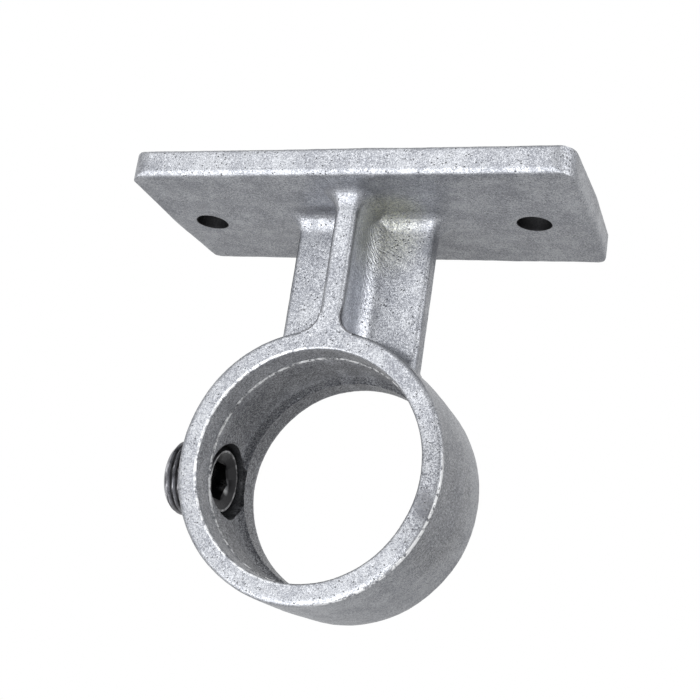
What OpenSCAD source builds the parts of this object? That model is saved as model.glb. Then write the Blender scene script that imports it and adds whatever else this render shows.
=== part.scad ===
// Tube wall bracket: a galvanised casting that holds a tube off a wall or under a ceiling, with a set screw.
// Origin: centre of the plate's mounting face. X runs along the plate, Y along the tube, +Z towards the wall.

/* [Tube and collar] */
// Outside diameter of the tube that the collar takes
tube_d = 48.3; // [42.4:0.1:60.3]
// Gap between the tube and the bore, on the radius
tube_clearance = 0.45; // [0.1:0.05:0.5]
// Wall of the collar, at its thickest
collar_wall = 4.9; // [4:0.1:8]
// Width of the collar along the tube
collar_width = 31.6; // [26:0.1:36]
// From the mounting face to the centre of the tube
tube_drop = 66.8; // [60:0.1:100]
// Width of each land inside the collar
land_width = 6.5; // [4:0.1:8]
// Depth of the relief between the lands, on the radius
relief_depth = 1; // [0.4:0.1:1.5]
// Length of the curve from a land down to the relief
relief_run = 3; // [1:0.1:4]
// Rounding of the collar's outer edges
collar_round = 1.1; // [0.3:0.1:2]
// Rounding of the mouths of the bore
mouth_round = 0.6; // [0.2:0.1:1.2]

/* [Plate] */
// Length of the plate, at its longest
plate_length = 102.3; // [96:0.1:140]
// Width of the plate
plate_width = 49.6; // [45:0.1:80]
// Thickness of the plate, at its thickest
plate_thickness = 6.8; // [5:0.1:10]
// Rounding of the edges on the stem's side of the plate
plate_round = 1.9; // [0.5:0.1:2.5]
// Rounding of the edges beside the mounting face
face_round = 0.8; // [0.2:0.1:1.5]
// Rounding of the plate's four corners
corner_round = 5; // [1:0.1:7]
// Diameter of the screw holes
hole_d = 7.6; // [5:0.1:10]
// Distance between the screw holes
hole_spacing = 78.2; // [70:0.1:84]
// How far the row of holes lies off the plate's centre, as cast
hole_offset = -1.1; // [-1.5:0.1:1.5]

/* [Stem] */
// Width of the web that runs along the plate
web_width = 32.4; // [24:0.1:38]
// Thickness of the web
web_thickness = 5; // [4:0.1:7]
// Thickness of the rib that crosses the web
rib_thickness = 5; // [4:0.1:7]
// Rounding of the stem's outer edges
stem_round = 1.1; // [0.3:0.1:1.9]
// Hollow in the corners between web and rib
stem_hollow = 4.8; // [1:0.1:6]
// Hollow where the stem spreads into the plate
plate_hollow = 4.7; // [1:0.1:5]
// Hollow where the web runs onto the collar
collar_hollow = 3; // [1:0.1:4]
// Hollow where the rib runs onto the collar
rib_hollow = 4.2; // [1:0.1:5]

/* [Casting] */
// Slope that lets the pattern out of the sand, in degrees
draft = 1.6; // [0.5:0.1:3]

/* [Set screw] */
// Outside diameter of the screw's thread
thread_d = 16.66; // [12:0.01:18]
// Gap between the screw and its hole, on the radius
thread_gap = 0.05; // [0.02:0.01:0.1]
// Length of the screw
screw_length = 11.3; // [9:0.1:14]
// How far the point stays behind the tube when slack
screw_slack = 1.75; // [1:0.05:3]
// Size of the hexagonal key, across the flats
key_size = 8; // [5:0.1:8]
// Chamfer at both ends of the thread
screw_chamfer = 1.2; // [0.5:0.1:1.6]
// Diameter of the rim of the cup point
cup_d = 12.4; // [10:0.1:13]
// Depth of the cup
cup_depth = 1.6; // [0.8:0.1:2.5]
// How far the screw's axis lies below the centre of the tube, as drilled
screw_drop = 1.9; // [0:0.1:2.5]
// How far the screw's axis lies behind the middle of the collar, as drilled
screw_back = 1.5; // [0:0.1:2.5]

/* [Hidden] */
$fn = 96;

bore_r = tube_d / 2 + tube_clearance;
collar_r = bore_r + collar_wall;
face_r = collar_r - collar_width / 2 * tan(draft);
half_collar = collar_width / 2;
edge_thickness = plate_thickness - plate_width / 2 * tan(draft);
end_shift = plate_width / 2 * tan(draft);
screw_tip_x = -(tube_d / 2 + screw_slack);
// Chords of a rounded edge, and of a hollow between two walls
ROUND_STEPS = 5;
HOLLOW_STEPS = 7;
// How deep a hollow's stock reaches into the walls that it joins
ROOT = 1.5;
// How deep the thin edge of a hollow is let into a sloping wall
SINK = 0.1;
// How far a cut runs past the face that it opens
PAST = 5;

// Point on a circle
function on_circle(centre, r, a) = centre + r * [cos(a), sin(a)];

// Unit vector from a to b
function toward(a, b) = (b - a) / norm(b - a);

// The arc that rounds one corner of an outline: the points from one tangent point to the other
function corner_arc(before, corner, after, r, steps) =
    let (
        u = toward(corner, before),
        v = toward(corner, after),
        half = acos(u * v) / 2,
        centre = corner + toward([0, 0], u + v) * r / sin(half),
        first = corner + u * r / tan(half) - centre,
        last = corner + v * r / tan(half) - centre,
        start = atan2(first[1], first[0]),
        turn = atan2(last[1], last[0]) - start,
        sweep = turn > 180 ? turn - 360 : turn < -180 ? turn + 360 : turn
    )
    [for (i = [0:steps]) on_circle(centre, r, start + sweep * i / steps)];

// An outline with each corner rounded by its own radius; convex and hollow corners alike
function rounded(points, radii, steps = ROUND_STEPS) =
    let (n = len(points))
    [
        for (i = [0:n - 1])
            for (p = radii[i] == 0 ? [points[i]]
                : corner_arc(points[(i + n - 1) % n], points[i], points[(i + 1) % n], radii[i], steps))
                p
    ];

// Section of a hollow of radius r between a wall at x = 0 and a floor at y = 0, with stock behind both
function hollow_section(r) = concat(
    [[-ROOT, -ROOT], [r, -ROOT]],
    [for (i = [0:HOLLOW_STEPS]) on_circle([r, r], r, 270 - 90 * i / HOLLOW_STEPS)],
    [[-ROOT, r]]
);

// Straight hollow along +Y, centred, with its wall on -X and its floor below
module straight_hollow(r, length) {
    rotate([90, 0, 0])
        linear_extrude(height = length, center = true)
            polygon(hollow_section(r));
}

// Hollow that turns a quarter round a corner of radius edge_r, whose axis is at the origin
module turned_hollow(r, edge_r) {
    rotate_extrude(angle = 90)
        polygon([for (p = hollow_section(r)) [max(0, p[0] + edge_r), p[1]]]);
}

// Solid that is turned round the tube's axis, from an outline of [radius, distance along the tube]
module turned_about_tube(outline, angle = 360, start = 0) {
    translate([0, 0, -tube_drop])
        rotate([90, 0, 0])
            rotate_extrude(angle = angle, start = start)
                polygon(outline);
}

// Plate: flat towards the wall, with its ends and its underside sloping away from the parting plane
module plate() {
    half_w = plate_width / 2;
    half_l = plate_length / 2;
    end_l = half_l - end_shift;
    // Section across the plate
    across = rounded(
        [[-half_w, 0], [-half_w, -edge_thickness], [0, -plate_thickness], [half_w, -edge_thickness], [half_w, 0]],
        [face_round, plate_round, 0, plate_round, face_round]
    );
    // Plan of the plate
    plan = rounded(
        [[-end_l, -half_w], [0, -half_w], [end_l, -half_w], [half_l, 0],
            [end_l, half_w], [0, half_w], [-end_l, half_w], [-half_l, 0]],
        [corner_round, 0, corner_round, 0, corner_round, 0, corner_round, 0]
    );
    // Section along the plate; its depth past the underside leaves the sloping underside to the other section
    along_half = half_l * cos(draft);
    along = rounded(
        [[-along_half, 0], [-along_half, -plate_thickness], [along_half, -plate_thickness], [along_half, 0]],
        [face_round, plate_round, plate_round, face_round]
    );
    intersection() {
        rotate([90, 0, 90])
            linear_extrude(height = plate_length + 2 * PAST, center = true)
                polygon(across);
        translate([0, 0, -plate_thickness - PAST])
            linear_extrude(height = plate_thickness + 2 * PAST)
                polygon(plan);
        for_both_slopes()
            rotate([90, 0, 0])
                linear_extrude(height = plate_width + 4 * PAST, center = true)
                    polygon(along);
    }
}

// The common part of its child turned one draft to the left and one draft to the right
module for_both_slopes() {
    intersection() {
        rotate([0, 0, draft])
            children();
        rotate([0, 0, -draft])
            children();
    }
}

// Plan of one wall of the stem along X, with the rounding of its outer edges
module wall_plan(half_length, half_t) {
    square([2 * (half_length - stem_round), 2 * half_t], center = true);
    square([2 * half_length, 2 * (half_t - stem_round)], center = true);
    for (x = [-1, 1], y = [-1, 1])
        translate([x * (half_length - stem_round), y * (half_t - stem_round)])
            circle(stem_round);
}

// Stem: a cross in plan, from inside the collar's wall to the middle of the plate
module stem() {
    foot = -tube_drop + sqrt(pow(bore_r, 2) - pow(web_width / 2, 2));
    translate([0, 0, foot])
        linear_extrude(height = -foot - edge_thickness / 2) {
            wall_plan(web_width / 2, web_thickness / 2);
            rotate([0, 0, 90])
                wall_plan(half_collar, rib_thickness / 2);
            for (x = [0, 1], y = [0, 1])
                mirror([x, 0, 0])
                    mirror([0, y, 0])
                        translate([rib_thickness / 2, web_thickness / 2])
                            polygon(hollow_section(stem_hollow));
        }
}

// Hollows round the head of one wall of the stem, of half length reach and half thickness half_t, along X.
// Their floor is let into the plate where its underside is highest, at half_y from the middle.
module head_hollows(reach, half_t, half_y) {
    floor_z = -plate_thickness + half_y * tan(draft) + SINK;
    for (side = [-1, 1], face = [0, 1])
        mirror([0, face, 0])
            mirror([side < 0 ? 1 : 0, 0, 0])
                translate([0, 0, floor_z])
                    mirror([0, 0, 1]) {
                        translate([reach, 0, 0])
                            straight_hollow(plate_hollow, 2 * (half_t - stem_round));
                        translate([reach - stem_round, half_t - stem_round, 0])
                            turned_hollow(plate_hollow, stem_round);
                        translate([(reach - stem_round) / 2, half_t, 0])
                            rotate([0, 0, 90])
                                straight_hollow(plate_hollow, reach - stem_round);
                    }
}

// Where the stem spreads into the plate
module head() {
    head_hollows(web_width / 2, web_thickness / 2, web_thickness / 2 + plate_hollow);
    rotate([0, 0, 90])
        head_hollows(half_collar, rib_thickness / 2, half_collar + plate_hollow);
}

// Hollow of radius r between a flank at x = wall_x and a ring of radius ring_r, with stock behind both
module foot_hollow(wall_x, thickness, r, ring_r) {
    reach = ring_r + r;
    rise = sqrt(pow(reach, 2) - pow(wall_x + r, 2));
    centre = [wall_x + r, rise];
    touch = centre * ring_r / reach;
    from = atan2(touch[1] - centre[1], touch[0] - centre[0]);
    stock = concat(
        [[wall_x - ROOT, rise], [wall_x - ROOT, sqrt(pow(ring_r - ROOT, 2) - pow(wall_x - ROOT, 2))],
            touch * (ring_r - ROOT) / ring_r],
        [for (i = [0:HOLLOW_STEPS]) on_circle(centre, r, from - (from + 180) * i / HOLLOW_STEPS)]
    );
    translate([0, 0, -tube_drop])
        rotate([90, 0, 0])
            linear_extrude(height = thickness, center = true)
                polygon(stock);
}

// Where the stem runs onto the collar
module foot() {
    flat = web_width / 2 - stem_round;
    span = asin(web_width / 2 / collar_r);
    for (side = [0, 1])
        mirror([side, 0, 0]) {
            foot_hollow(web_width / 2, web_thickness - 2 * stem_round, collar_hollow, collar_r);
            foot_hollow(rib_thickness / 2, collar_width, rib_hollow, face_r);
        }
    for (face = [0, 1])
        mirror([0, face, 0])
            intersection() {
                turned_about_tube(
                    [for (p = hollow_section(collar_hollow)) [p[1] + collar_r, p[0] + web_thickness / 2]],
                    2 * span, 90 - span
                );
                translate([-flat, -collar_width, -tube_drop])
                    cube([2 * flat, 2 * collar_width, tube_drop]);
            }
}

// Outside of the collar: two shallow cones that meet on the parting plane
module collar_outside() {
    turned_about_tube(rounded(
        [[0, -half_collar], [face_r, -half_collar], [collar_r, 0], [face_r, half_collar], [0, half_collar]],
        [0, collar_round, 0, collar_round, 0]
    ));
}

// Height of the relief above a land, as a share, along its smooth run from 0 to 1
function swell(t) = (1 - cos(180 * t)) / 2;

// Space inside the collar: a rounded mouth, a land, the relief, a land and a rounded mouth
module bore_space() {
    land_end = half_collar - land_width;
    mouth_y = half_collar - mouth_round;
    mouth_r = bore_r + mouth_round;
    front_half = concat(
        [[0, -half_collar - PAST], [mouth_r, -half_collar - PAST]],
        [for (i = [0:ROUND_STEPS]) on_circle([mouth_r, -mouth_y], mouth_round, 270 - 90 * i / ROUND_STEPS)],
        [for (i = [0:HOLLOW_STEPS]) let (t = i / HOLLOW_STEPS)
            [bore_r + relief_depth * swell(t), -land_end + relief_run * t]]
    );
    last = len(front_half) - 1;
    turned_about_tube(concat(
        front_half,
        [for (i = [last:-1:0]) [front_half[i][0], -front_half[i][1]]]
    ));
}

// Plain hole of the thread's outside diameter, through the collar's left wall
module screw_hole() {
    translate([0, screw_back, -tube_drop - screw_drop])
        rotate([0, -90, 0])
            translate([0, 0, bore_r / 2])
                cylinder(r = thread_d / 2 + thread_gap, h = collar_r + PAST - bore_r / 2);
}

// Holes for the two fixing screws
module plate_holes() {
    for (side = [-1, 1])
        translate([hole_offset + side * hole_spacing / 2, 0, -plate_thickness - PAST])
            cylinder(d = hole_d, h = plate_thickness + 2 * PAST);
}

module bracket_casting() {
    color("silver")
        difference() {
            union() {
                plate();
                stem();
                head();
                foot();
                collar_outside();
            }
            bore_space();
            screw_hole();
            plate_holes();
        }
}

// Screw along +Z from its tail at 0 to its cup point, with the socket right through
module screw_body() {
    r = thread_d / 2;
    cup_bottom_r = key_size / 2 / cos(30) * 0.9;
    difference() {
        rotate_extrude()
            polygon([
                [0, 0], [r - screw_chamfer, 0], [r, screw_chamfer],
                [r, screw_length - (r - cup_d / 2)], [cup_d / 2, screw_length],
                [cup_bottom_r, screw_length - cup_depth], [0, screw_length - cup_depth]
            ]);
        translate([0, 0, -PAST])
            rotate([0, 0, 90])
                cylinder(d = key_size / cos(30), h = screw_length + 2 * PAST, $fn = 6);
    }
}

module set_screw() {
    color("dimgray")
        translate([screw_tip_x - screw_length, screw_back, -tube_drop - screw_drop])
            rotate([0, 90, 0])
                screw_body();
}

bracket_casting();
set_screw();
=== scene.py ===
"""Dresses the tube wall bracket: a rough galvanised casting, a threaded set screw and a plain studio."""

import math

import bpy
from bpy.props import FloatProperty, FloatVectorProperty, IntProperty, PointerProperty
from bpy.types import Operator, Panel, PropertyGroup
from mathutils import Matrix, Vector


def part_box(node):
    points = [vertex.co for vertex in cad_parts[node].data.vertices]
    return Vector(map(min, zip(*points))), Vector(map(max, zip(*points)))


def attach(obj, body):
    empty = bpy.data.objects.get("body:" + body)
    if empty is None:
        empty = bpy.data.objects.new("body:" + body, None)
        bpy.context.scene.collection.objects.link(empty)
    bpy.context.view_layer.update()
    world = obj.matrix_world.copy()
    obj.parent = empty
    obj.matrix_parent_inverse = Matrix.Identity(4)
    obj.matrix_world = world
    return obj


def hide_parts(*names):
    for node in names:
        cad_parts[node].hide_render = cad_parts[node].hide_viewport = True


bl_info = {
    "name": "Tube wall bracket",
    "version": (1, 0, 0),
    "blender": (4, 5, 0),
    "location": "View3D > Sidebar > Bracket",
    "description": "Models a galvanised tube wall bracket with its set screw",
    "category": "Object",
}

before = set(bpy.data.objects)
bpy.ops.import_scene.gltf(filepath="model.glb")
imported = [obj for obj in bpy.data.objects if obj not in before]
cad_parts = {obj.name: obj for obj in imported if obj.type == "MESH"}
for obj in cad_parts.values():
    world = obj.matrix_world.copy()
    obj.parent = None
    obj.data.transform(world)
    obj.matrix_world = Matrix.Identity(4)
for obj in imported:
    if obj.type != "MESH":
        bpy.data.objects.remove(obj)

MM = 0.001
# Places of the axes in a vector
X, Y, Z = 0, 1, 2
QUARTER_TURN = math.radians(90)


def mm(*lengths):
    """Lengths in millimetres, as the scene's metres."""
    return tuple(length * MM for length in lengths)


# Sides of a turned piece, and rings of vertices to one turn of the thread
TURNED_SIDES = 128
RINGS_A_TURN = 14
RIDGE_SIDES = 12

# Where two faces meet at less than this many degrees, the edge between them is shaded smooth
CASTING_SMOOTH = 50
SCREW_SMOOTH = 35

# The drill is long enough that the thread clears the casting at the end of its travel
DRILL_DEPTH = 32 * MM

# The cone that countersinks the screw's socket: half its height, and half the spread of its radius
COUNTERSINK = 0.8 * MM

# The cup in the screw's point: width of the flat lip round it, radius of its floor for one of the socket's
# corners, and height of its cutter for one depth of the cup
CUP_LIP = 0.25 * MM
CUP_FLOOR = 0.9
CUP_CUTTER = 1.5

# Places on the casting
TUBE_CENTRE = mm(0, 0, -66.8)
HOLE_CENTRES = (mm(-40.2, 0, 0), mm(38, 0, 0))
FOOT_HOLLOWS = (mm(-6.7, 0, -34.2), mm(6.7, 0, -34.2))
SCREW_LOW, SCREW_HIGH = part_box("set_screw")
SCREW_CENTRE = (SCREW_LOW + SCREW_HIGH) / 2

# Half the length of a rod that marks a round region: past the bracket, or so long that it never narrows
LONG = 60 * MM
ENDLESS = 10

# Scale, detail and roughness of the noise in the zinc
ZINC_NOISE = {
    "Cloudy patches": (90, 3, 0.6),
    "Mottle": (2300, 3, 0.7),
    "Speckle": (4600, 2, 0.6),
    "Where pits gather": (260, 3, 0.7),
    "Ragged edge": (700, 3, 0.7),
}
CRYSTAL_SCALE = 3000
PIT_SCALE = 1700

# How the noise lightens the zinc: two ends of the noise, and the share of light zinc at each
ZINC_TONES = {
    "Cloudy patches": (0.35, 0.65, 0.0, 0.3),
    "Mottle": (0.3, 0.7, 0.0, 0.5),
    "Speckle": (0.32, 0.68, -0.4, 0.45),
    "Where pits gather": (0.3, 0.7, -0.2, 0.3),
}

# Spots of the zinc that differ from the rest, two of them painted shade: centre, reach and inner share
ZINC_SPOTS = {
    "Painted shade above the web": (mm(-8.5, -6.8, -6.8), mm(9, 3.6, 2.6), 0.35),
    "Painted shade on the far side": (mm(30, -8, -73), mm(12, 24, 26), 0.5),
    "Smudge on the rim": (mm(26.3, -15.8, -73.4), mm(2.6, 1.5, 4.4), 0.35),
    "Stained corner": (mm(7.5, -8.5, -12), mm(11, 9, 14), 0.35),
    "Wrinkled corner": (mm(6.5, -7.5, -17), mm(10, 9.5, 21), 0.35),
}

# Bands of the zinc, measured along one axis: low end, high end and softness of both ends
ZINC_BANDS = {
    "Beside the rib": mm(1.8, 4, 1.1),
    "Along the rib": mm(2, 14, 0.7),
    "Below the plate": mm(-41, -9, 3),
    "Front land": mm(-17, -9.3, 0.3),
    "Mouth of the bore": mm(15.35, 17, 0.08),
    "Edge of the front land": mm(-9.65, -9, 0.15),
    "Height of the stem": mm(-34.5, -11, 1),
    "Left edge of the rib": mm(-2.55, -2.1, 0.08),
    "Rib near its faces": mm(14.9, 15.75, 0.08),
    "Left edge of the web": mm(-16.3, -15.75, 0.08),
    "Web near its faces": mm(1.75, 2.7, 0.08),
    "Outer rim": mm(14.7, 15.6, 0.15),
}

# Bands of wrinkled zinc
WRINKLES = {"Scale": 400, "Distortion": 14, "Detail": 4, "Detail Scale": 0.8}

# The lamps: place, size in metres and share of the lamp power
LAMPS = {
    "front": ((-0.15, -0.52, 0.2), 0.42, 0.48),
    "below": ((-0.08, -0.34, -0.4), 0.7, 2.2),
    "right": ((0.5, -0.22, 0.13), 0.42, 0.55),
}
LAMP_AIM = (0, 0, -0.048)
SENSOR_WIDTH = 36
NEAREST_SEEN = 0.01
FLOOR_SIZE = 8
FLOOR_GREY = 0.85
FLOOR_GLOW = 0.7
WHITE = (1, 1, 1, 1)

# Columns and rows in which the nodes of a material stand
NODE_COLUMNS = 8
NODE_WIDTH = 220
NODE_HEIGHT = 320


def millimetres(value, name, description, low=0.0, high=0.2):
    """A length that a user may change, given here in millimetres and kept in metres."""
    return FloatProperty(
        name=name,
        description=description,
        default=value * MM,
        min=low,
        max=high,
        precision=5,
        unit="LENGTH",
    )


def colour(value, name, description):
    return FloatVectorProperty(
        name=name, description=description, default=value, size=3, min=0.0, max=1.0, subtype="COLOR"
    )


class CastingSettings(PropertyGroup):
    fineness: IntProperty(
        name="Fineness",
        description="How often the casting's box is halved for the mesh",
        default=8,
        min=5,
        max=8,
    )
    triangles: IntProperty(
        name="Triangles",
        description="Most triangles that the casting keeps",
        default=190000,
        min=10000,
        max=199000,
    )
    smoothing: IntProperty(
        name="Smoothing", description="Passes that wear the edges round", default=2, min=0, max=20
    )
    wave_height: millimetres(0.22, "Wave height", "Height of the slow waves in the skin")
    wave_length: millimetres(14, "Wave length", "Length of the slow waves in the skin")
    lump_height: millimetres(0.08, "Lump height", "Height of the sand's print in the skin")
    lump_length: millimetres(1.9, "Lump length", "Length of the sand's print in the skin")
    land_edge: millimetres(9.1, "Land edge", "From the middle of the collar to the inner edge of a land")
    ridge_radius: millimetres(24.75, "Ridge radius", "Radius of the ridge of zinc at the edge of a land")
    ridge_height: millimetres(0.45, "Ridge height", "Half the thickness of that ridge")
    tapped_radius: millimetres(8.42, "Tapped radius", "Radius of the clean hole for the set screw")


class ScrewSettings(PropertyGroup):
    pitch: millimetres(1.337, "Pitch", "Distance from one crest of the thread to the next")
    thread_depth: millimetres(0.8, "Thread depth", "Height of the thread, from root to crest")
    crest: FloatProperty(
        name="Crest", description="Share of the pitch that a flat crest takes", default=0.12, min=0.0, max=0.5
    )
    chamfer: millimetres(1.2, "Chamfer", "Chamfer at the tail of the thread")
    key_size: millimetres(8, "Key size", "Size of the key, across its flats")
    cup_rim: millimetres(6.8, "Cup rim", "Radius of the rim of the cup point")
    cup_depth: millimetres(1.6, "Cup depth", "Depth of the cup in the point")


class FinishSettings(PropertyGroup):
    zinc_light: colour((0.37, 0.38, 0.4), "Light zinc", "Colour of the fresh, matt zinc")
    zinc_dark: colour((0.17, 0.177, 0.198), "Dark zinc", "Colour of the duller patches in the zinc")
    # Also the colour of the painted shade above the web and on the stem's edges
    pit: colour((0.05, 0.05, 0.055), "Pits", "Colour of the dirt in pits and smudges, and of the painted shade above the web and on the stem's edges")
    stain: colour((0.42, 0.42, 0.28), "Stain", "Colour of the stain in the corner of the stem")
    steel: colour((0.32, 0.32, 0.34), "Steel", "Colour of the set screw")
    # Painted shade in the bore and on the collar's far side is multiplied by this colour
    shade_tint: colour((0.16, 0.16, 0.17), "Shade tint", "Colour that the painted shade is multiplied by")
    # Colour of the painted highlights on the bore's edges, the collar's rim and the screw's cup
    painted_highlight: colour((0.85, 0.86, 0.87), "Bright edge", "Colour of the painted highlights on edges and rims")
    # Painted shade: this colour darkens the holes, the gap round the screw, the socket, the thread's roots
    # and the point
    painted_shade: colour((0.012, 0.012, 0.013), "Painted shade", "Colour of the painted shade in the holes, the socket, the thread and the point")
    zinc_roughness: FloatProperty(
        name="Zinc roughness", description="Roughness of the zinc", default=0.42, min=0, max=1
    )
    zinc_metal: FloatProperty(
        name="Zinc metal", description="How metallic the zinc looks", default=0.8, min=0, max=1
    )
    # Gain of the painted light beside the rib
    painted_light_gain: FloatProperty(
        name="Painted light gain",
        description="How much lighter the painted light makes the stem's corners",
        default=2.2,
        min=1,
        max=4,
    )
    steel_roughness: FloatProperty(
        name="Steel roughness", description="Roughness of the set screw", default=0.3, min=0, max=1
    )


class StageSettings(PropertyGroup):
    lens: FloatProperty(
        name="Lens", description="Focal length for a 36 mm sensor", default=66.28, min=10, max=300
    )
    camera_place: FloatVectorProperty(
        name="Camera place",
        description="Where the camera stands",
        default=(0.10056, -0.2555, -0.11731),
        size=3,
        subtype="TRANSLATION",
        unit="LENGTH",
    )
    camera_turn: FloatVectorProperty(
        name="Camera turn",
        description="How the camera is turned",
        default=(1.85752, -0.14674, 0.33284),
        size=3,
        subtype="EULER",
        unit="ROTATION",
    )
    floor_height: FloatProperty(
        name="Floor height", description="Height of the floor", default=-0.6, min=-2, max=0, unit="LENGTH"
    )
    lamp_power: FloatProperty(
        name="Lamp power", description="Power of the soft lamp in front, in watts", default=3.0, min=0, max=50
    )
    room_light: FloatProperty(
        name="Room light", description="Strength of the light from all round", default=0.06, min=0, max=2
    )


def clear_selection():
    if bpy.context.object and bpy.context.object.mode != "OBJECT":
        bpy.ops.object.mode_set(mode="OBJECT")
    bpy.ops.object.select_all(action="DESELECT")


def pick(*objects):
    """Selects these objects alone and makes the first one active."""
    clear_selection()
    for obj in objects:
        obj.select_set(True)
    bpy.context.view_layer.objects.active = objects[0]
    return objects[0]


def edit(obj, mode="VERT"):
    """Opens obj in edit mode with nothing selected."""
    pick(obj)
    bpy.ops.object.mode_set(mode="EDIT")
    bpy.ops.mesh.select_mode(type=mode)
    bpy.ops.mesh.select_all(action="DESELECT")


def close_edit():
    bpy.ops.object.mode_set(mode="OBJECT")


def named(name):
    """Names the primitive that was just added."""
    obj = bpy.context.active_object
    obj.name = name
    obj.data.name = name
    return obj


def put_in_place(obj, place=(0, 0, 0), turn=(0, 0, 0)):
    """Moves and turns obj, then writes its place into its mesh."""
    pick(obj)
    obj.location = place
    obj.rotation_euler = turn
    bpy.ops.object.transform_apply(location=True, rotation=True, scale=True)


def finish_with(obj, kind, **settings):
    """Adds one modifier to obj, sets it and applies it."""
    pick(obj)
    modifier = obj.modifiers.new(kind.title(), kind)
    for key, value in settings.items():
        setattr(modifier, key, value)
    bpy.ops.object.modifier_apply(modifier=modifier.name)


def cut_with(obj, cutter):
    """Cuts the cutter's shape out of obj, and deletes the cutter."""
    finish_with(obj, "BOOLEAN", operation="DIFFERENCE", solver="EXACT", object=cutter)
    bpy.data.objects.remove(cutter)


def smooth_shading(obj, degrees):
    pick(obj)
    bpy.ops.object.shade_smooth_by_angle(angle=math.radians(degrees))


def copy_of_node(node, name):
    """A copy of a CAD node's mesh, with its loose triangles merged into one skin."""
    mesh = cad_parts[node].data.copy()
    mesh.name = name
    mesh.materials.clear()
    obj = bpy.data.objects.new(name, mesh)
    bpy.context.scene.collection.objects.link(obj)
    edit(obj)
    bpy.ops.mesh.select_all(action="SELECT")
    bpy.ops.mesh.remove_doubles(threshold=0.001 * MM)
    close_edit()
    return obj


def skin_texture(name, length, depth):
    """A texture that raises and lowers a casting's skin."""
    texture = bpy.data.textures.new(name, "CLOUDS")
    texture.noise_scale = length
    texture.noise_depth = depth
    return texture


def new_material(name):
    material = bpy.data.materials.new(name)
    material.use_nodes = True
    return material


class Nodes:
    """The nodes of one material or of the room, placed in columns from left to right."""

    def __init__(self, tree):
        self.tree = tree
        self.tree.nodes.clear()
        self.count = 0

    def node(self, kind, label="", **settings):
        made = self.tree.nodes.new(kind)
        made.label = label
        row, column = divmod(self.count, NODE_COLUMNS)
        made.location = (NODE_WIDTH * column, -NODE_HEIGHT * row)
        self.count += 1
        for key, value in settings.items():
            setattr(made, key, value)
        return made

    def link(self, source, target):
        self.tree.links.new(source, target)

    def calculate(self, operation, first, second=0.0, label=""):
        """One step of arithmetic; each value is a socket or a number."""
        made = self.node("ShaderNodeMath", label, operation=operation)
        for socket, value in zip(made.inputs, (first, second)):
            if isinstance(value, (int, float)):
                socket.default_value = value
            else:
                self.link(value, socket)
        return made.outputs[0]

    def total(self, first, *others):
        for other in others:
            first = self.calculate("ADD", first, other)
        return first

    def product(self, first, *others):
        for other in others:
            first = self.calculate("MULTIPLY", first, other)
        return first

    def size(self, value):
        """The value without its sign."""
        return self.calculate("ABSOLUTE", value)

    def seen(self):
        """1 for rays from the camera, from a gloss or through glass, and 0 for all others."""
        rays = self.node("ShaderNodeLightPath").outputs
        seen = self.calculate("MAXIMUM", rays["Is Camera Ray"], rays["Is Glossy Ray"])
        return self.calculate("MAXIMUM", seen, rays["Is Transmission Ray"])


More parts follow.
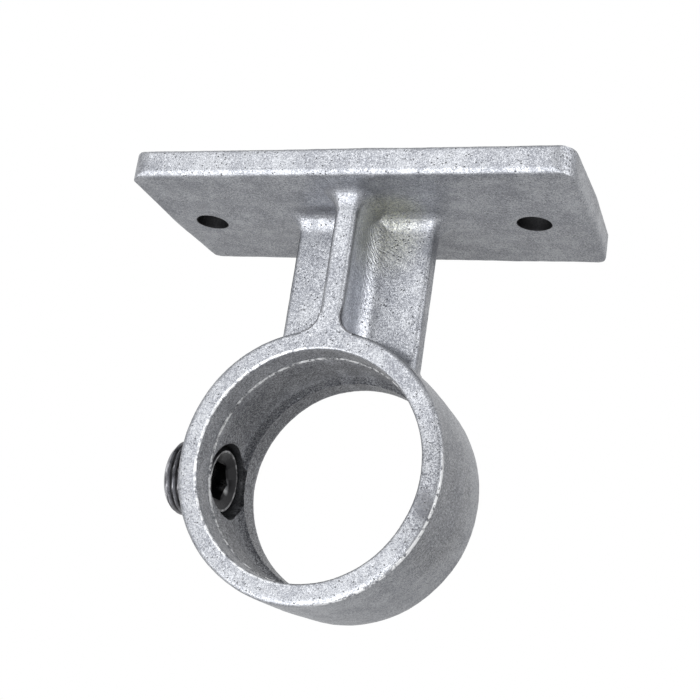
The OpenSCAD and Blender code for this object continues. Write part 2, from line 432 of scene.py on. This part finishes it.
class Finish(Nodes):
    """The material of one piece, built up in layers of colour over its base."""

    def __init__(self, name):
        self.material = new_material(name)
        super().__init__(self.material.node_tree)
        self.place = self.node("ShaderNodeTexCoord").outputs["Object"]
        self.base = None

    def noise(self, scale, detail, roughness, label):
        made = self.node("ShaderNodeTexNoise", label)
        made.inputs["Scale"].default_value = scale
        made.inputs["Detail"].default_value = detail
        made.inputs["Roughness"].default_value = roughness
        self.link(self.place, made.inputs["Vector"])
        return made.outputs["Fac"]

    def cells(self, scale, label, output):
        made = self.node("ShaderNodeTexVoronoi", label)
        made.inputs["Scale"].default_value = scale
        self.link(self.place, made.inputs["Vector"])
        return made.outputs[output]

    def spread(self, value, low, high, to_low=0.0, to_high=1.0, label=""):
        """Maps value from low..high onto to_low..to_high, and holds it there outside."""
        made = self.node("ShaderNodeMapRange", label, interpolation_type="SMOOTHSTEP")
        self.link(value, made.inputs["Value"])
        made.inputs["From Min"].default_value = low
        made.inputs["From Max"].default_value = high
        made.inputs["To Min"].default_value = to_low
        made.inputs["To Max"].default_value = to_high
        return made.outputs["Result"]

    def blend(self, share, first, second, label="", blend_type="MIX"):
        """Mixes two colours; each is a socket or three numbers."""
        made = self.node("ShaderNodeMix", label, data_type="RGBA", blend_type=blend_type)
        factor, a, b = made.inputs[0], made.inputs[6], made.inputs[7]
        for socket, value in ((factor, share), (a, first), (b, second)):
            if hasattr(value, "is_output"):
                self.link(value, socket)
            elif socket is factor:
                socket.default_value = value
            else:
                socket.default_value = (*value, 1.0)
        return made.outputs[2]

    def lay(self, share, tint, label, blend_type="MIX"):
        """Lays one more colour over the base."""
        self.base = self.blend(share, self.base, tint, label, blend_type)

    def near(self, centre, reach, label, inner=0.35):
        """1 at a spot of the piece, falling from its inner share to 0 at its reach in X, Y and Z."""
        moved = self.node("ShaderNodeMapping", label, vector_type="TEXTURE")
        moved.inputs["Location"].default_value = centre
        moved.inputs["Scale"].default_value = reach
        self.link(self.place, moved.inputs["Vector"])
        length = self.node("ShaderNodeVectorMath", label, operation="LENGTH")
        self.link(moved.outputs["Vector"], length.inputs[0])
        return self.spread(length.outputs["Value"], 1.0, inner, label=label)

    def rod(self, axis, centre, radius, label, inner, half_length=LONG):
        """1 inside a round rod along one axis, falling from its inner share to 0 at its radius."""
        reach = [radius] * 3
        reach[axis] = half_length
        return self.near(centre, reach, label, inner)

    def axis(self, name):
        """One coordinate of the place."""
        axes = self.node("ShaderNodeSeparateXYZ", name)
        self.link(self.place, axes.inputs[0])
        return axes.outputs[name]

    def between(self, value, low, high, soft, label):
        """1 where value lies between low and high, with soft ends."""
        rise = self.spread(value, low - soft, low + soft, label=label)
        fall = self.spread(value, high + soft, high - soft, label=label)
        return self.product(rise, fall)

    def surface(self, roughness, height, depth, metallic):
        """Ends the material in one Principled shader with a bump."""
        shader = self.node("ShaderNodeBsdfPrincipled")
        self.link(self.base, shader.inputs["Base Color"])
        self.link(roughness, shader.inputs["Roughness"])
        shader.inputs["Metallic"].default_value = metallic
        bump = self.node("ShaderNodeBump", "Skin")
        bump.inputs["Distance"].default_value = depth
        self.link(height, bump.inputs["Height"])
        self.link(bump.outputs["Normal"], shader.inputs["Normal"])
        output = self.node("ShaderNodeOutputMaterial")
        self.link(shader.outputs["BSDF"], output.inputs["Surface"])
        return self.material


class GalvanisedZinc(Finish):
    """Matt, mottled zinc over cast iron. galvanised_zinc calls the methods that lay things over the base."""

    def __init__(self, finish):
        super().__init__("Galvanised zinc")
        self.finish = finish
        self.fields = {label: self.noise(*field, label) for label, field in ZINC_NOISE.items()}
        self.mottle = self.fields["Mottle"]
        self.across, self.along, self.up = (self.axis(name) for name in "XYZ")
        self.off_middle = self.size(self.along)
        # Breaks up the painted shade in the bore and on the far side
        self.grain = self.spread(self.mottle, 0.32, 0.68, 1.45, 0.5, "Grain of the painted shade")
        self.ragged = self.spread(self.fields["Ragged edge"], 0.4, 0.56)

    def spot(self, label):
        centre, reach, inner = ZINC_SPOTS[label]
        return self.near(centre, reach, label, inner)

    def band(self, value, label):
        return self.between(value, *ZINC_BANDS[label], label)

    def plain_skin(self):
        """Cloudy patches, a mottle and a speckle, under a fine print of crystals."""
        tone = self.total(*(self.spread(self.fields[label], *ends) for label, ends in ZINC_TONES.items()))
        self.base = self.blend(tone, self.finish.zinc_dark, self.finish.zinc_light, "Zinc")
        grey = self.node("ShaderNodeRGBToBW", "Crystal tone")
        self.link(self.cells(CRYSTAL_SCALE, "Crystals", "Color"), grey.inputs["Color"])
        shade = self.spread(grey.outputs["Val"], 0.2, 0.8, 0.88, 1.1)
        tint = self.node("ShaderNodeCombineColor", "Crystal tint")
        for socket in tint.inputs:
            self.link(shade, socket)
        self.lay(1.0, tint.outputs["Color"], "Crystals", "MULTIPLY")

    def painted_light_beside_rib(self):
        """Painted light in the stem's corners, beside the rib: the zinc there is made lighter."""
        # Painted light: the rib's flanks and their hollows are lightened
        lit_beside_rib = self.product(
            self.band(self.size(self.across), "Beside the rib"),
            self.band(self.off_middle, "Along the rib"),
            self.band(self.up, "Below the plate"),
        )
        self.lay(lit_beside_rib, [self.finish.painted_light_gain] * 3, "Painted light beside the rib", "MULTIPLY")

    def smudges_and_painted_shade(self):
        """Painted shade above the web and on the far side of the collar, a dark mark smeared on its rim, and
        the stain.
        """
        # Painted shade under the plate, above the web
        shade_above_web = self.product(self.spot("Painted shade above the web"), 0.45)
        self.lay(shade_above_web, self.finish.pit, "Painted shade above the web")
        # Painted shade on the collar's far side, broken up by cloudy patches and grain
        cloudy = self.spread(self.fields["Cloudy patches"], 0.3, 0.7, 0.22, 0.42)
        far = self.product(self.spot("Painted shade on the far side"), cloudy, self.grain)
        self.lay(far, self.finish.shade_tint, "Painted shade on the far side", "MULTIPLY")
        smudge_and_glint = self.product(self.spot("Smudge on the rim"), self.spread(self.mottle, 0.35, 0.6, 0.15, 0.75))
        self.lay(smudge_and_glint, self.finish.pit, "Smudge on the rim")
        stained = self.product(self.spot("Stained corner"), self.spread(self.mottle, 0.4, 0.65, 0.1, 0.6))
        self.lay(stained, self.finish.stain, "Stain")

    def pits(self):
        """Small pits with dirt in them. Only a few of the cells get one. Returns where they are."""
        chance = self.node("ShaderNodeSeparateColor", "Chance of a pit")
        self.link(self.cells(PIT_SCALE, "Chance of a pit", "Color"), chance.inputs["Color"])
        gathered = self.spread(self.fields["Where pits gather"], 0.35, 0.7, 0.0, 0.3)
        likely = self.spread(self.total(chance.outputs["Red"], gathered), 0.94, 1.0)
        pits = self.product(self.spread(self.cells(PIT_SCALE, "Pits", "Distance"), 0.42, 0.12), likely)
        self.lay(self.product(pits, 0.8), self.finish.pit, "Pits")
        return pits

    def bore(self):
        """Painted shade inside the bore, less of it on the front land towards the screw's side, with painted
        highlights at its mouth, stronger towards the screw's side, and at the edge of the front land.
        """
        # Painted shade inside the bore
        bore = self.rod(Y, TUBE_CENTRE, 26 * MM, "Painted shade in the bore", 0.985, 50 * MM)
        towards_screw = self.spread(self.across, 5 * MM, -15 * MM, 0.05, 0.75, "Towards the screw's side")
        land_towards_screw = self.product(self.band(self.along, "Front land"), towards_screw)
        land_shade_share = self.spread(land_towards_screw, 0, 0.75, 0.6, 0.3, "Less painted shade on the land")
        self.lay(
            self.product(bore, land_shade_share, self.grain),
            self.finish.shade_tint,
            "Painted shade in the bore",
            "MULTIPLY",
        )
        # Painted highlights on the rounded mouth and on the edge of the front land
        inside = self.rod(Y, TUBE_CENTRE, 25.25 * MM, "Inside the mouth", 0.99, ENDLESS)
        mouth = self.product(self.band(self.off_middle, "Mouth of the bore"), towards_screw)
        edge = self.band(self.along, "Edge of the front land")
        highlight = self.product(self.calculate("MAXIMUM", mouth, edge), inside)
        self.lay(self.product(self.ragged, highlight, 0.85), self.finish.painted_highlight, "Painted highlights on the bore's edges")

    def painted_shade_on_stem(self):
        """Painted shade as dark lines round the hollows of the stem's foot and down the left edges of its rib
        and web.
        """
        # Painted shade round the hollows of the stem's foot
        label = "Painted shade at the stem's foot"
        face = self.spread(self.off_middle, 14.6 * MM, 15 * MM, label="Front and back faces")
        for centre in FOOT_HOLLOWS:
            outer = self.rod(Y, centre, 4.85 * MM, label, 0.97)
            inner = self.rod(Y, centre, 4.25 * MM, label, 0.97)
            line = self.product(self.calculate("SUBTRACT", outer, inner), face, 0.8)
            self.lay(line, self.finish.pit, label)
        # Painted shade down the left edges of the rib and the web
        rib_edge = self.product(
            self.band(self.across, "Left edge of the rib"), self.band(self.off_middle, "Rib near its faces")
        )
        web_edge = self.product(
            self.band(self.across, "Left edge of the web"), self.band(self.off_middle, "Web near its faces")
        )
        outline = self.product(
            self.calculate("MAXIMUM", rib_edge, web_edge),
            self.band(self.up, "Height of the stem"),
            self.spread(self.ragged, 0, 1, 0.45, 0.85),
        )
        self.lay(outline, self.finish.pit, "Painted shade on the stem's edges")

    def rim_highlight(self):
        """A painted highlight on the collar's outer rim, low down and away from the screw."""
        # Painted highlight on the collar's outer rim
        within = self.rod(Y, TUBE_CENTRE, 28.9 * MM, "Within the rim", 0.99, ENDLESS)
        rim = self.product(self.band(self.off_middle, "Outer rim"), self.calculate("SUBTRACT", 1, within))
        low_side = self.spread(self.up, -58 * MM, -72 * MM, label="Low on the collar")
        far_side = self.spread(self.across, 2 * MM, 14 * MM, label="Away from the screw")
        rim_highlight_share = self.product(rim, low_side, self.product(far_side, self.spread(self.ragged, 0, 0.3)), 0.9)
        self.lay(rim_highlight_share, self.finish.painted_highlight, "Painted highlight on the rim")

    def painted_shade_in_holes(self):
        # Painted shade: the tapped hole round the screw and the two screw holes are darkened nearly to black
        label = "Painted shade in the tapped hole"
        tapping = self.rod(X, SCREW_CENTRE, 8.8 * MM, label, 0.93, 50 * MM)
        self.lay(self.product(tapping, 0.97), self.finish.painted_shade, label)
        label = "Painted shade in a screw hole"
        for centre in HOLE_CENTRES:
            hole = self.rod(Z, centre, 4 * MM, label, 0.97)
            self.lay(self.product(hole, 0.95), self.finish.painted_shade, label)

    def finished(self, pits):
        """Ends the material, with pits that sink and wrinkles that rise in one corner of the stem."""
        dull, glossy = self.finish.zinc_roughness + 0.1, self.finish.zinc_roughness - 0.08
        roughness = self.spread(self.mottle, 0.35, 0.65, dull, glossy)
        wrinkles = self.node("ShaderNodeTexWave", "Wrinkles", wave_type="BANDS", bands_direction="DIAGONAL")
        for socket, value in WRINKLES.items():
            wrinkles.inputs[socket].default_value = value
        self.link(self.place, wrinkles.inputs["Vector"])
        flow = self.product(self.spot("Wrinkled corner"), wrinkles.outputs["Fac"], 0.8)
        height = self.total(self.mottle, self.product(pits, -1.5), flow)
        return self.surface(roughness, height, 0.06 * MM, self.finish.zinc_metal)


def galvanised_zinc(finish):
    """The casting's zinc, from its plain skin to the painted shade in its holes."""
    zinc = GalvanisedZinc(finish)
    zinc.plain_skin()
    zinc.painted_light_beside_rib()
    zinc.smudges_and_painted_shade()
    pits = zinc.pits()
    zinc.bore()
    zinc.painted_shade_on_stem()
    zinc.rim_highlight()
    zinc.painted_shade_in_holes()
    return zinc.finished(pits)


def screw_steel(finish):
    """Dark turned steel with fine marks and a darker point, painted shade in its socket, thread roots and
    cup, a painted highlight on the rim at its point and a painted glint in the cup.
    """
    steel = Finish("Dark turned steel")
    marks = steel.noise(2600, 3, 0.6, "Turning marks")
    patches = steel.noise(420, 4, 0.6, "Patches")
    across = steel.axis("X")
    darker = [0.55 * part for part in finish.steel]
    steel.base = steel.blend(steel.spread(patches, 0.35, 0.7), darker, finish.steel, "Steel")
    # Painted shade inside the hexagon socket
    socket = steel.rod(X, SCREW_CENTRE, 4.75 * MM, "Painted shade in the socket", 0.97)
    steel.lay(steel.product(socket, 0.9), finish.painted_shade, "Painted shade in the socket")
    # Painted shade in the roots of the thread, between its crests
    root = steel.rod(X, SCREW_CENTRE, 8.2 * MM, "Painted shade in the thread", 0.94)
    first_turn, last_turn = SCREW_LOW.x + 0.8 * MM, SCREW_HIGH.x - 2.2 * MM
    threaded = steel.between(across, first_turn, last_turn, 0.4 * MM, "Threaded length")
    steel.lay(steel.product(root, threaded, 0.85), finish.painted_shade, "Painted shade in the thread")
    # The point is darker: partly a darker finish, partly painted shade in the cup
    tip_centre = (SCREW_HIGH.x, *SCREW_CENTRE.yz)
    point = steel.near(tip_centre, mm(5, 20, 20), "Dark point", 0.5)
    steel.lay(steel.product(point, 0.93), finish.painted_shade, "Dark point")
    # A painted highlight on the rim of the cup point
    outer = steel.rod(X, SCREW_CENTRE, 6.95 * MM, "Outside the rim", 0.98)
    inner = steel.rod(X, SCREW_CENTRE, 6.5 * MM, "Inside the rim", 0.97)
    tip = steel.spread(across, SCREW_HIGH.x - 0.5 * MM, SCREW_HIGH.x - 0.3 * MM, label="Tip")
    broken = steel.spread(patches, 0.4, 0.65, 0.05, 0.4)
    rim = steel.product(steel.calculate("SUBTRACT", outer, inner), tip, broken)
    steel.lay(rim, finish.painted_highlight, "Painted highlight on the cup's rim")
    # A painted glint on the cup's cone, beside the socket
    glint_place = SCREW_CENTRE + Vector((0, 4.2 * MM, -0.6 * MM))
    glint_place.x = SCREW_HIGH.x - 1 * MM
    smudge_and_glint = steel.near(glint_place, mm(3, 0.9, 2.2), "Painted glint in the cup")
    steel.lay(steel.product(smudge_and_glint, 0.35), finish.painted_highlight, "Painted glint in the cup")
    glossy, dull = finish.steel_roughness - 0.06, finish.steel_roughness + 0.14
    roughness = steel.spread(patches, 0.3, 0.7, glossy, dull)
    return steel.surface(roughness, marks, 0.02 * MM, 0.9)


def pale_floor():
    """White to the camera, with the object's shadow left in it."""
    material = new_material("Pale floor")
    floor = Nodes(material.node_tree)
    seen = floor.seen()
    matt = floor.node("ShaderNodeBsdfDiffuse")
    matt.inputs["Color"].default_value = (FLOOR_GREY, FLOOR_GREY, FLOOR_GREY, 1)
    glow = floor.node("ShaderNodeEmission")
    glow.inputs["Color"].default_value = WHITE
    mix = floor.node("ShaderNodeMixShader")
    floor.link(floor.product(seen, FLOOR_GLOW), mix.inputs[0])
    floor.link(matt.outputs[0], mix.inputs[1])
    floor.link(glow.outputs[0], mix.inputs[2])
    output = floor.node("ShaderNodeOutputMaterial")
    floor.link(mix.outputs[0], output.inputs["Surface"])
    return material


class BRACKET_OT_casting(Operator):
    """Makes the one-piece casting: plate, stem and collar, with a galvanised sand-cast skin"""

    bl_idname = "bracket.casting"
    bl_label = "Cast bracket"

    def execute(self, context):
        sizes = context.scene.bracket_casting
        piece = copy_of_node("bracket_casting", "cast_bracket")
        self.raise_land_edges(piece, sizes)
        finish_with(piece, "REMESH", mode="SHARP", octree_depth=sizes.fineness, scale=0.99, sharpness=1.0)
        finish_with(piece, "SMOOTH", factor=0.5, iterations=sizes.smoothing)
        waves = skin_texture("Slow waves", sizes.wave_length, 1)
        lumps = skin_texture("Sand print", sizes.lump_length, 2)
        for texture, height in ((waves, sizes.wave_height), (lumps, sizes.lump_height)):
            relief = {"texture": texture, "texture_coords": "LOCAL", "strength": height, "mid_level": 0.5}
            finish_with(piece, "DISPLACE", **relief)
        finish_with(piece, "DECIMATE", ratio=min(1, sizes.triangles / (2 * len(piece.data.polygons))))
        clear_selection()
        bpy.ops.mesh.primitive_cylinder_add(
            vertices=TURNED_SIDES,
            radius=sizes.tapped_radius,
            depth=DRILL_DEPTH,
            location=(SCREW_LOW.x, SCREW_CENTRE.y, SCREW_CENTRE.z),
            rotation=(0, QUARTER_TURN, 0),
        )
        drill = named("drill")
        put_in_place(drill, drill.location, drill.rotation_euler)
        cut_with(piece, drill)
        smooth_shading(piece, CASTING_SMOOTH)
        piece.data.materials.append(galvanised_zinc(context.scene.bracket_finish))
        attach(piece, "bracket")
        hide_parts("bracket_casting")
        return {"FINISHED"}

    def raise_land_edges(self, piece, sizes):
        """Adds the thin ridge of zinc that stands where each land of the bore drops to the relief."""
        for side in (-1, 1):
            clear_selection()
            bpy.ops.mesh.primitive_torus_add(
                major_segments=TURNED_SIDES,
                minor_segments=RIDGE_SIDES,
                major_radius=sizes.ridge_radius,
                minor_radius=sizes.ridge_height,
                location=(TUBE_CENTRE[X], side * sizes.land_edge, TUBE_CENTRE[Z]),
                rotation=(QUARTER_TURN, 0, 0),
            )
            ridge = named("ridge")
            put_in_place(ridge, ridge.location, ridge.rotation_euler)
            finish_with(piece, "BOOLEAN", operation="UNION", solver="EXACT", object=ridge)
            bpy.data.objects.remove(ridge)


class BRACKET_OT_set_screw(Operator):
    """Makes the set screw: a cut thread with turned ends, a hexagon socket right through and a cup point"""

    bl_idname = "bracket.set_screw"
    bl_label = "Set screw"

    def execute(self, context):
        sizes = context.scene.bracket_screw
        piece = self.threaded_blank(sizes)
        self.cut_socket(piece, sizes)
        put_in_place(piece, SCREW_CENTRE, (0, QUARTER_TURN, 0))
        smooth_shading(piece, SCREW_SMOOTH)
        piece.data.materials.append(screw_steel(context.scene.bracket_finish))
        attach(piece, "screw")
        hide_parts("set_screw")
        return {"FINISHED"}

    def threaded_blank(self, sizes):
        """A cylinder along Z, centred, whose side is cut to a right-hand thread between two turned ends."""
        length = SCREW_HIGH.x - SCREW_LOW.x
        outside = (SCREW_HIGH.y - SCREW_LOW.y) / 2
        clear_selection()
        bpy.ops.mesh.primitive_cylinder_add(vertices=TURNED_SIDES, radius=outside, depth=length)
        piece = named("threaded_set_screw")
        edit(piece, "EDGE")
        close_edit()
        for side in piece.data.edges:
            low, high = (piece.data.vertices[v].co.z for v in side.vertices)
            side.select = abs(high - low) > length / 2
        bpy.ops.object.mode_set(mode="EDIT")
        bpy.ops.mesh.subdivide(number_cuts=round(length / sizes.pitch * RINGS_A_TURN))
        close_edit()
        for vertex in piece.data.vertices:
            x, y, z = vertex.co
            turn = math.atan2(y, x) / math.tau
            share = abs(2 * ((z / sizes.pitch - turn) % 1.0) - 1)
            flat = (share - 0.5) / (1 - sizes.crest) + 0.5
            radius = outside - sizes.thread_depth * (1 - min(1, max(0, flat)))
            from_tail = z + length / 2
            from_point = length / 2 - z
            radius = min(radius, outside - sizes.chamfer + from_tail, sizes.cup_rim + from_point)
            vertex.co.x = radius * x / outside
            vertex.co.y = radius * y / outside
        return piece

    def cut_socket(self, piece, sizes):
        """Cuts the hexagon right through, its countersunk mouth and the cup in the point."""
        length = SCREW_HIGH.x - SCREW_LOW.x
        corner = sizes.key_size / math.sqrt(3)
        clear_selection()
        bpy.ops.mesh.primitive_cylinder_add(vertices=6, radius=corner, depth=2 * length)
        cut_with(piece, named("key"))
        cup = CUP_CUTTER * sizes.cup_depth
        slope = (sizes.cup_rim - CUP_LIP - CUP_FLOOR * corner) / sizes.cup_depth
        clear_selection()
        bpy.ops.mesh.primitive_cone_add(
            vertices=TURNED_SIDES,
            radius1=CUP_FLOOR * corner,
            radius2=CUP_FLOOR * corner + slope * cup,
            depth=cup,
            location=(0, 0, length / 2 - sizes.cup_depth + cup / 2),
        )
        cutter = named("cup")
        put_in_place(cutter, cutter.location)
        cut_with(piece, cutter)
        clear_selection()
        bpy.ops.mesh.primitive_cone_add(
            vertices=TURNED_SIDES,
            radius1=corner + COUNTERSINK,
            radius2=corner - COUNTERSINK,
            depth=2 * COUNTERSINK,
            location=(0, 0, -length / 2),
        )
        cutter = named("countersink")
        put_in_place(cutter, cutter.location)
        cut_with(piece, cutter)


class BRACKET_OT_stage(Operator):
    """Sets up the camera, the pale floor, the room and the soft lamps"""

    bl_idname = "bracket.stage"
    bl_label = "Stage"

    def execute(self, context):
        settings = context.scene.bracket_stage
        self.camera(context, settings)
        clear_selection()
        bpy.ops.mesh.primitive_plane_add(size=FLOOR_SIZE, location=(0, 0, settings.floor_height))
        floor = named("floor")
        floor.data.materials.append(pale_floor())
        self.room(context, settings)
        for name, (place, size, share) in LAMPS.items():
            self.lamp(name, place, size, share * settings.lamp_power)
        context.scene.view_settings.view_transform = "Standard"
        return {"FINISHED"}

    def camera(self, context, settings):
        clear_selection()
        bpy.ops.object.camera_add(location=settings.camera_place, rotation=settings.camera_turn)
        camera = context.active_object
        camera.name = "camera"
        camera.data.lens = settings.lens
        camera.data.sensor_width = SENSOR_WIDTH
        camera.data.clip_start = NEAREST_SEEN
        context.scene.camera = camera

    def lamp(self, name, place, size, power):
        """A square soft lamp that faces the middle of the bracket."""
        aim = Vector(LAMP_AIM) - Vector(place)
        turn = aim.to_track_quat("-Z", "Y").to_euler()
        clear_selection()
        bpy.ops.object.light_add(type="AREA", location=place, rotation=turn)
        lamp = bpy.context.active_object
        lamp.name = name
        lamp.data.size = size
        lamp.data.energy = power

    def room(self, context, settings):
        """White where the camera or a gloss sees it, and a plain soft light for everything else."""
        world = context.scene.world or bpy.data.worlds.new("Room")
        context.scene.world = world
        world.use_nodes = True
        room = Nodes(world.node_tree)
        seen = room.seen()
        strength = room.node("ShaderNodeMapRange")
        strength.inputs["To Min"].default_value = settings.room_light
        strength.inputs["To Max"].default_value = 1.0
        room.link(seen, strength.inputs["Value"])
        background = room.node("ShaderNodeBackground")
        background.inputs["Color"].default_value = WHITE
        room.link(strength.outputs["Result"], background.inputs["Strength"])
        output = room.node("ShaderNodeOutputWorld")
        room.link(background.outputs[0], output.inputs["Surface"])


class BRACKET_PT_panel(Panel):
    """Lists the bracket's sizes, finishes and pieces"""

    bl_idname = "BRACKET_PT_panel"
    bl_label = "Tube wall bracket"
    bl_space_type = "VIEW_3D"
    bl_region_type = "UI"
    bl_category = "Bracket"

    def draw(self, context):
        for group in GROUPS:
            box = self.layout.box()
            for name in group.__annotations__:
                box.prop(getattr(context.scene, GROUPS[group]), name)
        for operator in OPERATORS:
            self.layout.operator(operator.bl_idname)


GROUPS = {
    CastingSettings: "bracket_casting",
    ScrewSettings: "bracket_screw",
    FinishSettings: "bracket_finish",
    StageSettings: "bracket_stage",
}
OPERATORS = (BRACKET_OT_stage, BRACKET_OT_casting, BRACKET_OT_set_screw)


def register():
    for group, name in GROUPS.items():
        bpy.utils.register_class(group)
        setattr(bpy.types.Scene, name, PointerProperty(type=group))
    for made in (*OPERATORS, BRACKET_PT_panel):
        bpy.utils.register_class(made)


def unregister():
    for made in (BRACKET_PT_panel, *reversed(OPERATORS)):
        bpy.utils.unregister_class(made)
    for group, name in GROUPS.items():
        delattr(bpy.types.Scene, name)
        bpy.utils.unregister_class(group)


def main():
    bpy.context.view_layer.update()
    register()
    bpy.ops.bracket.stage()
    bpy.ops.bracket.casting()
    bpy.ops.bracket.set_screw()
    clear_selection()


if __name__ == "__main__":
    main()
